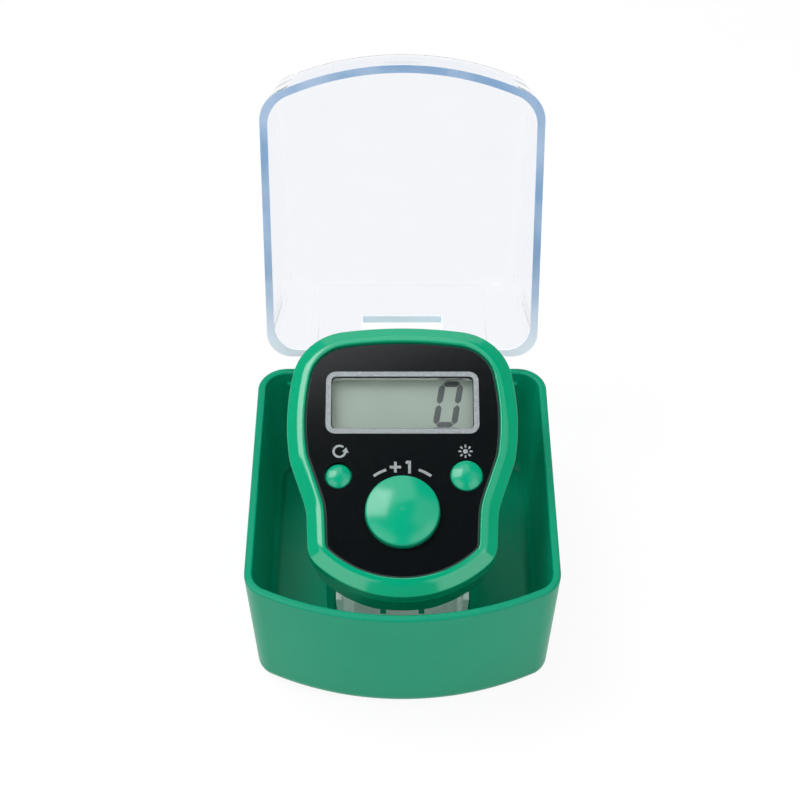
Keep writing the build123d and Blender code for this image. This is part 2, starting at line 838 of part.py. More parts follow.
def build():
    """Every node by name, in the part's own frame."""
    places = button_places()
    count_place, reset_place, led_place = (places[name][0] for name in ("count", "reset", "led"))
    in_counter = {
        "upper_case": upper_case(),
        "lower_case": lower_case(),
        "face_plate": face_plate(),
        "lcd_window": lcd_window(),
        "lcd_glass": lcd_glass(),
        "light_guide": light_guide(),
        "contact_strips": contact_strips(),
        "circuit_board": circuit_board(),
        "chip_cover": chip_cover(),
        "led_lamp": led_lamp(),
        "count_button": button(count_place, count_radius, count_rise, count_crown, 2 * stem_radius),
        "reset_button": button(reset_place, reset_radius, reset_rise, reset_crown, stem_radius),
        "led_button": button(led_place, led_radius, led_rise, led_crown, stem_radius),
        "count_switch": push_switch(count_place, switch_size, count_travel),
        "reset_switch": push_switch(reset_place, small_switch_size, reset_travel),
        "led_switch": push_switch(led_place, small_switch_size, led_travel),
        "battery_cells": battery_cells(),
        "battery_contacts": battery_contacts(),
        "cell_bridge": cell_bridge(),
        "battery_door": battery_door(),
        "door_screw": door_screw(),
        "case_screws": case_screws(),
        "board_screws": board_screws(),
        "finger_strap": finger_strap(),
    }
    nodes = {"case_tray": case_tray(), "case_lid": case_lid()}
    for name, shape in in_counter.items():
        group = Compound(children=shape) if isinstance(shape, list) else shape
        nodes[name] = counter_place * group
    return nodes


for node_name, node_shape in build().items():
    export_step(node_shape, f"parts/{node_name}.step")
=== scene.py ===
import math

import bpy
import numpy as np
from bpy.props import FloatProperty, FloatVectorProperty, PointerProperty
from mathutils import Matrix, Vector


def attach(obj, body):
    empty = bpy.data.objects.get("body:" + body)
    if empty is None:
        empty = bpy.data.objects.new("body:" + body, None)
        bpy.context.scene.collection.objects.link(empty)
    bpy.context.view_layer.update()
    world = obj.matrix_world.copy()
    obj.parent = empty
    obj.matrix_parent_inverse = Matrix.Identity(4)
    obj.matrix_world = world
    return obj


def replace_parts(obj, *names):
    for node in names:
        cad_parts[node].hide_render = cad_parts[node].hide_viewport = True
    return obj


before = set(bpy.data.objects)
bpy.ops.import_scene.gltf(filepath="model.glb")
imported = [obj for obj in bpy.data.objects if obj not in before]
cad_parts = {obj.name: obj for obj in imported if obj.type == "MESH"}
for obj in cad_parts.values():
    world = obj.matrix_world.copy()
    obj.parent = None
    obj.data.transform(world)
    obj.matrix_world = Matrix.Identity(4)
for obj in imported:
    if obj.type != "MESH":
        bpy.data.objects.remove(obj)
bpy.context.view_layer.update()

bl_info = {
    "name": "Digital tasbih counter",
    "version": (1, 0, 0),
    "blender": (4, 5, 0),
    "location": "View3D > Sidebar > Tasbih",
    "description": "Dresses the packed counter and its display case with finishes, print, strap and studio",
    "category": "Object",
}

MM = 0.001
PANE_TINT = (0.97, 0.98, 0.98)


def srgb(red, green, blue):
    """Screen colour 0 to 255 as linear light: the usual power curve with its straight foot."""
    screen = np.array([red, green, blue]) / 255
    light = np.where(screen <= 0.04045, screen / 12.92, ((screen + 0.055) / 1.055) ** 2.4)
    return tuple(float(part) for part in light)


def length(name, description, millimetres):
    """Length property in metres, with its default given in millimetres."""
    metres = millimetres * MM
    return FloatProperty(name=name, description=description, default=metres, unit="LENGTH", precision=5)


def angle(name, description, degrees):
    """Angle property in radians, with its default given in degrees."""
    return FloatProperty(name=name, description=description, default=math.radians(degrees), subtype="ANGLE")


def colour(name, description, red, green, blue):
    """Colour property in linear light, with its default given as a screen colour."""
    light = srgb(red, green, blue)
    return FloatVectorProperty(
        name=name, description=description, default=light, size=3, min=0, max=1, subtype="COLOR"
    )


def power(name, description, watts):
    """Power property of a lamp, in watts."""
    return FloatProperty(name=name, description=description, default=watts, unit="POWER")


def number(name, description, value):
    """Plain number property."""
    return FloatProperty(name=name, description=description, default=value)


class TASBIH_PG_counter(bpy.types.PropertyGroup):
    """Where the counter lies and the sizes of its strap."""

    tilt: angle("Tilt", "Slope of the counter's face, rising to the hinge", 21)
    centre_y: length("Centre Y", "Middle of the counter's length", -0.95)
    centre_z: length("Centre Z", "Height of the joint between the two shells", 26.15)
    plate_top: length("Plate top", "Height of the black plate over the joint plane", 2.6)
    glass_top: length("Glass top", "Height of the display cell over the joint plane", 0.6)
    strap_y: length("Strap Y", "Middle of the strap along the counter", -9.97)
    strap_loop: length("Strap loop", "Outer width of the strap's loop", 18.4)
    strap_width: length("Strap width", "Width of the strap's band", 10.9)
    strap_lead: length("Strap lead", "How far the band stands forward of its ends", 0.45)
    strap_thickness: length("Strap thickness", "Thickness of the strap's band", 0.8)
    strap_bend: length("Strap bend", "Outer radius of the loop's two bends", 2.4)
    strap_top: length("Strap top", "Depth of the strap's beads below the joint plane", 6.85)
    strap_drop: length("Strap drop", "Depth of the loop below the joint plane", 20.55)
    bead_radius: length("Bead radius", "Radius of the beads at the strap's ends", 0.9)
    tongue_width: length("Tongue width", "Width of the strap's ends and of their beads", 6.5)
    shoulder: length("Shoulder", "Depth below the joint plane where the band narrows to its ends", 10.4)
    shoulder_step: length("Shoulder step", "Depth over which the band narrows", 0.6)
    slot_pitch: length("Slot pitch", "Distance between the strap's slots", 5.5)
    slot_width: length("Slot width", "Width of a slot", 0.85)
    slot_length: length("Slot length", "Length of a slot", 10)


class TASBIH_PG_case(bpy.types.PropertyGroup):
    """Where the case's hinge lies and how the painted tint on its lid's rim and window edges is placed."""

    hinge_y: length("Hinge Y", "Hinge axis along the case", 23.79)
    hinge_z: length("Hinge Z", "Height of the hinge axis", 20.68)
    lid_open: angle("Lid open", "Turn of the lid from closed to its place here", 110)
    rim_back: length("Rim back", "Distance of the rim's face from the hinge axis", 1.78)
    rim_fade: length("Rim fade", "Depth over which the rim's tint ends", 0.28)
    window_half: length("Window half width", "Half width of the window in the lid's hinge wall", 5.9)
    window_low: length("Window low", "Depth of the window's near edge below the rim", 1.2)
    window_high: length("Window high", "Depth of the window's far edge below the rim", 9)
    window_wall: length("Window wall", "Distance from the hinge that holds the window's wall", 5)
    # Edge band: the window's edges take the same painted tint as the rim, standing in for light seen in the
    # cut edges.
    edge_band: length("Edge band", "Half width of the frosted band on the window's edges", 0.12)
    rim_pale: length("Rim pale", "Distance from the hinge where the rim takes its full tint", 15)


class TASBIH_PG_print(bpy.types.PropertyGroup):
    """Sizes of the silver print and of the display's figure."""

    film: length("Film", "Thickness of the print", 0.03)
    frame_x: length("Frame half width", "Half width of the frame round the display", 10.45)
    frame_y: length("Frame half height", "Half height of the frame round the display", 4.57)
    frame_centre: length("Frame centre", "Middle of the display along the counter", 8.03)
    frame_line: length("Frame line", "Width of the frame's line", 0.72)
    frame_radius: length("Frame corner", "Outer corner radius of the frame", 1.35)
    stroke: length("Stroke", "Width of the marks' lines", 0.3)
    mark_x: length("Side mark X", "Distance of the side marks from the middle", 8.5)
    mark_y: length("Side mark Y", "Place of the side marks along the counter", 0.87)
    mark_radius: length("Side mark radius", "Radius of the side marks", 0.8)
    count_y: length("Count button Y", "Middle of the large button along the counter", -7.8)
    count_arc: length("Count arc", "Radius of the arc of marks over the large button", 6.4)
    figure_x: length("Figure X", "Middle of the lit figure across the display", 6.3)
    figure_y: length("Figure Y", "Middle of the lit figure along the counter", 8.4)
    figure_width: length("Figure width", "Width of a figure", 3.35)
    figure_height: length("Figure height", "Height of a figure", 6.9)
    figure_line: length("Figure line", "Width of a figure's segments", 0.85)
    figure_gap: length("Figure gap", "Gap between neighbouring segments", 0.07)
    figure_slant: angle("Figure slant", "Lean of the figures", 9.5)


class TASBIH_PG_colours(bpy.types.PropertyGroup):
    """Colours of the finishes."""

    tray: colour("Tray", "Green of the case tray", 1, 141, 106)
    shell: colour("Shell", "Green of the counter's shell", 1, 151, 109)
    button: colour("Button", "Green of the buttons", 1, 155, 116)
    lid: colour("Lid", "Clear plastic of the lid", 246, 248, 252)
    # Lid rim tint and its pale end: opaque painted colour of the rim face and window edges, the plastic's
    # faint blue plus painted light seen end-on in the cut wall.
    lid_rim_painted_tint: colour("Lid edge", "Tint at the lid's rim", 126, 160, 196)
    lid_rim_painted_pale: colour("Lid pale", "Tint of the rim near the hinge", 236, 243, 255)
    plate: colour("Plate", "Black of the face plate", 9, 13, 15)
    # Plate edge highlight: a painted highlight on the chamfer round the plate's face.
    plate_edge_highlight: colour("Plate edge", "Rubbed edge of the face plate", 92, 97, 99)
    silver: colour("Silver", "Print on the plate", 143, 150, 153)
    display: colour("Display", "Reflector of the display", 122, 133, 125)
    figure: colour("Figure", "Dark segments of the display", 40, 46, 48)
    # Strap: milky white with a painted green cast that stands in for the green tray seen through the strap.
    strap: colour("Strap", "Milky clear plastic of the strap", 238, 254, 250)
    screw: colour("Screw", "Steel of the screws", 190, 190, 186)
    spring: colour("Spring", "Steel of the battery contacts", 206, 200, 180)
    cell: colour("Cell", "Steel of the button cells", 205, 206, 208)
    board: colour("Board", "Lacquer of the circuit board", 24, 92, 58)
    resin: colour("Resin", "Drop over the chip", 22, 22, 24)
    rubber: colour("Rubber", "Rubber of the contact strips", 70, 72, 74)
    lamp: colour("Lamp", "Body of the small lamp", 232, 228, 210)
    switch: colour("Switch", "Bodies of the switches", 34, 34, 36)


class TASBIH_PG_stage(bpy.types.PropertyGroup):
    """Camera, floor and lamps."""

    camera_x: length("Camera X", "Camera place across", -0.33)
    camera_y: length("Camera Y", "Camera place along", -159.2)
    camera_z: length("Camera Z", "Camera height", 204.1)
    camera_pitch: angle("Camera pitch", "Turn of the camera up from straight down", 43.75)
    lens: number("Lens", "Focal length in millimetres", 78.7)
    sensor: number("Sensor", "Width of the camera's sensor in millimetres", 36)
    above: power("Above", "Soft lamp above the lid", 0.65)
    left: power("Left", "Soft lamp on the left", 1.7)
    right: power("Right", "Soft lamp on the right", 0.28)
    fill: power("Fill", "Each shadowless fill in front", 0.85)
    lamp_aim: length("Lamp aim", "Height of the point that every lamp faces", 20)
    world: number("World", "Strength of the even light around", 0.42)
    paper_glow: number("Paper glow", "Share of plain white in the paper as seen", 0.9)
    paper_half: length("Paper half size", "Half the width of the paper", 1500)
    floor: colour("Floor", "Paper under the object", 246, 246, 246)


class Signal:
    """Shader socket with Python arithmetic: an expression on signals adds its Math nodes."""

    def __init__(self, finish, socket):
        self.finish = finish
        self.socket = socket

    def join(self, operation, first, second):
        return self.finish.node("ShaderNodeMath", {"operation": operation}, {0: first, 1: second})

    def __add__(self, other):
        return self.join("ADD", self, other)

    def __radd__(self, other):
        return self.join("ADD", other, self)

    def __sub__(self, other):
        return self.join("SUBTRACT", self, other)

    def __rsub__(self, other):
        return self.join("SUBTRACT", other, self)

    def __mul__(self, other):
        return self.join("MULTIPLY", self, other)

    def __rmul__(self, other):
        return self.join("MULTIPLY", other, self)

    def __truediv__(self, other):
        return self.join("DIVIDE", self, other)

    def __gt__(self, other):
        return self.join("GREATER_THAN", self, other)

    def __lt__(self, other):
        return self.join("LESS_THAN", self, other)


class Finish:
    """Node tree of a material or of the world, whose nodes are added by one method."""

    def __init__(self, owner, shader="Principled BSDF", output="Material Output", coordinates="Object"):
        owner.use_nodes = True
        self.owner = owner
        self.tree = owner.node_tree
        self.shader = self.tree.nodes[shader]
        self.output = self.tree.nodes[output]
        self.place = self.node("ShaderNodeTexCoord", {}, {}, coordinates)

    def node(self, kind, settings, values, output=0):
        """Adds a node of a kind, sets it up, then fills or links its sockets, and returns one output."""
        made = self.tree.nodes.new(kind)
        for key, value in settings.items():
            if key == "stops":
                ramp = made.color_ramp
                while len(ramp.elements) < len(value):
                    ramp.elements.new(0.5)
                for element, (position, tone) in zip(ramp.elements, value):
                    element.position = position
                    element.color = tone
            else:
                setattr(made, key, value)
        for key, value in values.items():
            self.fill(made.inputs[key], value)
        return Signal(self, made.outputs[output])

    def fill(self, socket, value):
        """Links a signal to a socket, or sets the socket's own value."""
        if isinstance(value, Signal):
            self.tree.links.new(value.socket, socket)
        elif socket.type == "RGBA":
            socket.default_value = (*value[:3], 1)
        else:
            socket.default_value = value

    def surface(self, **values):
        """Fills the Principled shader's sockets, named with spaces as underscores."""
        for key, value in values.items():
            self.fill(self.shader.inputs[key.replace("_", " ")], value)

    def noise(self, size, detail=2.0, roughness=0.5):
        """Noise of about 0 to 1 whose lumps have a size in metres."""
        values = {"Vector": self.place, "Scale": 1 / size, "Detail": detail, "Roughness": roughness}
        return self.node("ShaderNodeTexNoise", {}, values)

    def mix(self, factor, first, second):
        """Colour between two colours by a factor."""
        return self.node("ShaderNodeMix", {"data_type": "RGBA"}, {0: factor, 6: first, 7: second}, 2)

    def ramp(self, factor, stops):
        """Grey ramp from (position, grey) stops."""
        tones = [(position, (grey, grey, grey, 1)) for position, grey in stops]
        return self.node("ShaderNodeValToRGB", {"stops": tones}, {0: factor})

    def maths(self, operation, *values):
        """Any other Math node, by its operation."""
        return self.node("ShaderNodeMath", {"operation": operation}, dict(enumerate(values)))

    def dot(self, first, second):
        """Dot product of two vectors."""
        return self.node("ShaderNodeVectorMath", {"operation": "DOT_PRODUCT"}, {0: first, 1: second}, "Value")

    def reach(self, point, direction):
        """Distance in metres past a point along a direction: the dot product of offset and direction."""
        offset = self.node("ShaderNodeVectorMath", {"operation": "SUBTRACT"}, {0: self.place, 1: point})
        return self.dot(offset, direction)

    def blend(self, factor, first, second):
        """Sends a mix of two shader outputs to the output node."""
        mixed = self.node("ShaderNodeMixShader", {}, {0: factor, 1: first, 2: second})
        self.fill(self.output.inputs["Surface"], mixed)

    def bump(self, height, strength, distance):
        """Bump from a height signal, with the distance of a full step in metres."""
        values = {"Strength": strength, "Distance": distance, "Height": height}
        return self.node("ShaderNodeBump", {}, values)


def shaded(tone, share):
    """Colour darkened or lightened by a share."""
    return tuple(min(1.0, part * share) for part in tone)


def moulded_plastic(name, tone, roughness, grain, gloss):
    """Moulded plastic: cloudy colour and gloss, a fine skin texture and a few rubbed spots."""
    finish = Finish(bpy.data.materials.new(name))
    cloud = finish.noise(6 * MM, 3)
    skin = finish.noise(0.22 * MM, 2)
    rubbed = finish.ramp(finish.noise(1.6 * MM, 4, 0.6), [(0.55, 0.0), (0.8, 1.0)])
    base = finish.mix(cloud, shaded(tone, 0.94), shaded(tone, 1.06))
    finish.surface(
        Base_Color=base,
        Roughness=roughness - 0.04 + 0.06 * cloud + 0.05 * rubbed,
        Normal=finish.bump(skin, grain, 0.02 * MM),
        Specular_IOR_Level=gloss,
    )
    return finish.owner


def clear_lid_plastic(name, tone, tint, pale, case):
    """Clear plastic whose rim face and window edges are painted an opaque blue: the plastic's own faint blue,
    plus painted light for what the clear wall carries and reflects out of its cut edges.

    The painted rim tint is full far from the hinge, fades paler towards it and is broken up by streaks.
    """
    finish = Finish(bpy.data.materials.new(name))
    haze = finish.noise(4 * MM, 3)
    fine = finish.noise(0.7 * MM, 3)
    finish.surface(
        Base_Color=finish.mix(haze, shaded(tone, 0.97), tone),
        Roughness=0.02 + 0.03 * haze,
        Normal=finish.bump(fine, 0.05, 0.02 * MM),
        IOR=1.15,
        Transmission_Weight=1.0,
    )
    hinge = (0, case.hinge_y, case.hinge_z)
    lean = case.lid_open - math.pi / 2
    depth = finish.reach(hinge, (0, math.cos(lean), -math.sin(lean)))
    away = finish.reach(hinge, (0, math.sin(lean), math.cos(lean)))
    below_rim = depth + case.rim_back
    # Painted rim: an opaque tint on the rim face and the wall just above it, standing in for the light seen
    # in the cut edge.
    painted_rim = finish.ramp(below_rim / case.rim_fade, [(0.5, 1.0), (1.0, 0.0)])
    middle = (case.window_low + case.window_high) / 2
    beside = finish.maths("ABSOLUTE", finish.reach(hinge, (1, 0, 0))) - case.window_half
    beyond = finish.maths("ABSOLUTE", below_rim - middle) - (case.window_high - case.window_low) / 2
    edge = finish.maths("ABSOLUTE", finish.maths("MAXIMUM", beside, beyond))
    painted_window_edge = (edge < case.edge_band) * (away < case.window_wall)
    streak = finish.ramp(finish.noise(7 * MM, 2), [(0.35, 0.76), (0.65, 1.0)])
    far = streak * finish.ramp(away / case.rim_pale, [(0.2, 0.0), (1.0, 1.0)])
    rim = finish.node(
        "ShaderNodeBsdfPrincipled",
        {},
        {"Base Color": finish.mix(far, pale, tint), "Roughness": 0.3 + 0.1 * haze, "IOR": 1.49},
    )
    finish.blend(finish.maths("MAXIMUM", painted_rim, painted_window_edge), Signal(finish, finish.shader.outputs[0]), rim)
    return finish.owner


def gloss_black(name, tone, edge, tilt):
    """Glossy black plate with faint dust in its gloss, and a painted pale highlight on the slope round its
    tilted face.
    """
    finish = Finish(bpy.data.materials.new(name))
    dust = finish.ramp(finish.noise(0.9 * MM, 5, 0.7), [(0.5, 0.0), (0.75, 1.0)])
    cloud = finish.noise(10 * MM, 2)
    normal = finish.node("ShaderNodeTexCoord", {}, {}, "Normal")
    face = (0, -math.sin(tilt), math.cos(tilt))
    facing = finish.dot(normal, face)
    steep = 0.5
    level = 0.9
    # Painted highlight: faces tilted between the plate's face and its side, the chamfer, take the pale edge
    # colour, broken up by noise.
    sloping = (facing > steep) * (facing < level) * (0.4 + 0.6 * cloud)
    black = finish.mix(dust, tone, shaded(tone, 1.25))
    finish.surface(
        Base_Color=finish.mix(sloping, black, edge),
        Roughness=0.11 + 0.04 * cloud + 0.03 * dust,
        Specular_IOR_Level=0.4,
    )
    return finish.owner


def silver_print(name, tone):
    """Silver ink with a speckled grain."""
    finish = Finish(bpy.data.materials.new(name))
    grain = finish.ramp(finish.noise(0.2 * MM, 2), [(0.35, 0.0), (0.65, 1.0)])
    finish.surface(
        Base_Color=finish.mix(grain, shaded(tone, 0.68), shaded(tone, 1.15)),
        Roughness=0.42 + 0.16 * grain,
        Metallic=0.1,
        Normal=finish.bump(grain, 0.2, 0.01 * MM),
    )
    return finish.owner


def display_cell(name, tone):
    """Grey-green reflector of a display with a fine sparkle."""
    finish = Finish(bpy.data.materials.new(name))
    sparkle = finish.noise(0.08 * MM, 2)
    cloud = finish.noise(6 * MM, 2)
    finish.surface(
        Base_Color=finish.mix(0.5 * sparkle + 0.5 * cloud, shaded(tone, 0.9), shaded(tone, 1.05)),
        Roughness=0.35 + 0.15 * sparkle,
        Specular_IOR_Level=0.15,
    )
    return finish.owner


def display_ink(name, tone):
    """Dark liquid crystal of the lit segments."""
    finish = Finish(bpy.data.materials.new(name))
    cloud = finish.noise(1.5 * MM, 2)
    finish.surface(
        Base_Color=finish.mix(cloud, shaded(tone, 0.85), shaded(tone, 1.15)),
        Roughness=0.4 + 0.1 * cloud,
    )
    return finish.owner


def clear_pane(name):
    """Clear lens over the display, with faint rubbing."""
    finish = Finish(bpy.data.materials.new(name))
    rub = finish.noise(2 * MM, 4, 0.6)
    finish.surface(
        Base_Color=PANE_TINT,
        Roughness=0.01 + 0.03 * rub,
        IOR=1.2,
        Transmission_Weight=1.0,
    )
    return finish.owner


def milky_strap_painted_green(name, tone):
    """Soft milky plastic with flow lines, clear enough to glow from behind."""
    finish = Finish(bpy.data.materials.new(name))
    cloud = finish.noise(3 * MM, 3)
    skin = finish.noise(0.3 * MM, 2)
    # The tone's green cast is painted light: the green of the tray showing through the clear strap.
    finish.surface(
        Base_Color=finish.mix(cloud, shaded(tone, 0.92), tone),
        Roughness=0.22 + 0.12 * cloud,
        Normal=finish.bump(skin, 0.15, 0.03 * MM),
        IOR=1.46,
        Transmission_Weight=0.05,
    )
    return finish.owner


def bright_steel(name, tone):
    """Brushed steel: streaks across one axis in colour and gloss."""
    finish = Finish(bpy.data.materials.new(name))
    stretched = finish.node("ShaderNodeMapping", {}, {"Vector": finish.place, "Scale": (1, 12, 12)})
    streak = finish.node("ShaderNodeTexNoise", {}, {"Vector": stretched, "Scale": 1500, "Detail": 3})
    finish.surface(
        Base_Color=finish.mix(streak, shaded(tone, 0.85), tone),
        Metallic=1.0,
        Roughness=0.22 + 0.18 * streak,
    )
    return finish.owner


def board_laminate(name, tone):
    """Board lacquer over faint tracks: stripes in one diagonal direction, broken up by noise."""
    finish = Finish(bpy.data.materials.new(name))
    values = {"Vector": finish.place, "Scale": 260, "Distortion": 6}
    lanes = finish.node("ShaderNodeTexWave", {"bands_direction": "DIAGONAL"}, values)
    tracks = finish.ramp(lanes, [(0.45, 0.0), (0.55, 1.0)])
    finish.surface(
        Base_Color=finish.mix(tracks, tone, shaded(tone, 1.6)),
        Roughness=0.35 + 0.1 * finish.noise(1 * MM),
        Normal=finish.bump(tracks, 0.3, 0.03 * MM),
    )
    return finish.owner


def plain_resin(name, tone, roughness):
    """Cast or rubbery stuff with a soft mottle."""
    finish = Finish(bpy.data.materials.new(name))
    mottle = finish.noise(0.8 * MM, 3)
    finish.surface(
        Base_Color=finish.mix(mottle, shaded(tone, 0.8), shaded(tone, 1.2)),
        Roughness=roughness + 0.1 * mottle,
        Normal=finish.bump(mottle, 0.15, 0.04 * MM),
    )
    return finish.owner


def dress(node, material):
    """Gives a CAD node one material."""
    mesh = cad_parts[node].data
    mesh.materials.clear()
    mesh.materials.append(material)


def mesh_object(name, points, faces, material, smooth=True):
    """Mesh object at the origin from an array of points and a list or array of faces."""
    mesh = bpy.data.meshes.new(name)
    rows = faces.tolist() if isinstance(faces, np.ndarray) else faces
    mesh.from_pydata(points.reshape(-1, 3), [], rows)
    mesh.polygons.foreach_set("use_smooth", np.full(len(mesh.polygons), smooth))
    mesh.materials.append(material)
    mesh.update()
    made = bpy.data.objects.new(name, mesh)
    bpy.context.scene.collection.objects.link(made)
    return made


def grid_faces(rows, columns, closed):
    """Quads between neighbouring rows and columns of a grid; closed joins the last column to the first."""
    across = np.arange(columns if closed else columns - 1)
    row, column = np.meshgrid(np.arange(rows - 1), across, indexing="ij")
    beside = (column + 1) % columns
    here = row * columns
    below = here + columns
    corners = (here + column, here + beside, below + beside, below + column)
    return np.stack(corners, axis=-1).reshape(-1, 4)


def on_counter(sizes, across, along, height):
    """Scene points from the counter's frame: centre plus steps across, along and off its sloping face."""
    slope = np.array([0, math.cos(sizes.tilt), math.sin(sizes.tilt)])
    normal = np.array([0, -math.sin(sizes.tilt), math.cos(sizes.tilt)])
    centre = np.array([0, sizes.centre_y, sizes.centre_z])
    across, along, height = np.broadcast_arrays(across, along, height)
    side = np.array([1.0, 0, 0])
    return centre + across[..., None] * side + along[..., None] * slope + height[..., None] * normal


def joined(parts):
    """One point array and one face list from several (points, faces) parts, with indices shifted."""
    starts = np.cumsum([0] + [len(points) for points, _ in parts])
    points = np.concatenate([points for points, _ in parts])
    faces = []
    for start, (_, part) in zip(starts, parts):
        faces += [[index + int(start) for index in face] for face in part]
    return points, faces


def stroke(path, width, closed=False):
    """Flat band along a path: two offsets of the path, half a width to each side of its tangent."""
    if closed:
        tangent = np.roll(path, -1, axis=0) - np.roll(path, 1, axis=0)
    else:
        tangent = np.gradient(path, axis=0)
    tangent /= np.linalg.norm(tangent, axis=1, keepdims=True)
    aside = np.stack([-tangent[:, 1], tangent[:, 0]], axis=-1) * width / 2
    points = np.stack([path - aside, path + aside])
    return points.reshape(-1, 2), grid_faces(2, len(path), closed).tolist()


def polygon(corners):
    """Flat face from its corners, counterclockwise."""
    return np.array(corners, float), [list(range(len(corners)))]


def circle_path(centre, radius, start, end, count):
    """Points on a circle from one angle to another, in degrees."""
    turn = np.radians(np.linspace(start, end, count))
    return np.stack([centre[0] + radius * np.cos(turn), centre[1] + radius * np.sin(turn)], axis=-1)


def rounded_loop(half_x, half_y, radius, steps=10):
    """Rounded oblong as a closed loop: a quarter circle about each corner's centre and straight runs."""
    centres = [(half_x - radius, half_y - radius), (radius - half_x, half_y - radius)]
    centres += [(radius - half_x, radius - half_y), (half_x - radius, radius - half_y)]
    starts = range(0, 360, 90)
    arcs = [circle_path(centre, radius, start, start + 90, steps) for start, centre in zip(starts, centres)]
    return np.concatenate(arcs)


def film_object(name, parts, sizes, height, film, material):
    """Flat marks laid on the counter at a height and thickened into a film."""
    flat, faces = joined(parts)
    points = on_counter(sizes, flat[:, 0], flat[:, 1], height)
    made = mesh_object(name, points, faces, material, smooth=False)
    thick = made.modifiers.new("Film", "SOLIDIFY")
    thick.thickness = film
    thick.offset = 1
    return made


class TASBIH_OT_case(bpy.types.Operator):
    """Finishes the tray and the clear lid of the display case"""

    bl_idname = "tasbih.case"
    bl_label = "Display case"

    def execute(self, context):
        tones = context.scene.tasbih_colours
        dress("case_tray", moulded_plastic("tray_green", tones.tray, roughness=0.34, grain=0.12, gloss=0.17))
        case = context.scene.tasbih_case
        dress("case_lid", clear_lid_plastic("clear_lid", tones.lid, tones.lid_rim_painted_tint, tones.lid_rim_painted_pale, case))
        return {"FINISHED"}


class TASBIH_OT_shell(bpy.types.Operator):
    """Finishes the counter's two shells, its battery door and its three buttons"""

    bl_idname = "tasbih.shell"
    bl_label = "Counter shell"

    def execute(self, context):
        tones = context.scene.tasbih_colours
        shell = moulded_plastic("shell_green", tones.shell, roughness=0.12, grain=0.05, gloss=0.45)
        for node in ("upper_case", "lower_case", "battery_door"):
            dress(node, shell)
        button = moulded_plastic("button_green", tones.button, roughness=0.2, grain=0.05, gloss=0.4)
        for node in ("count_button", "reset_button", "led_button"):
            dress(node, button)
        return {"FINISHED"}


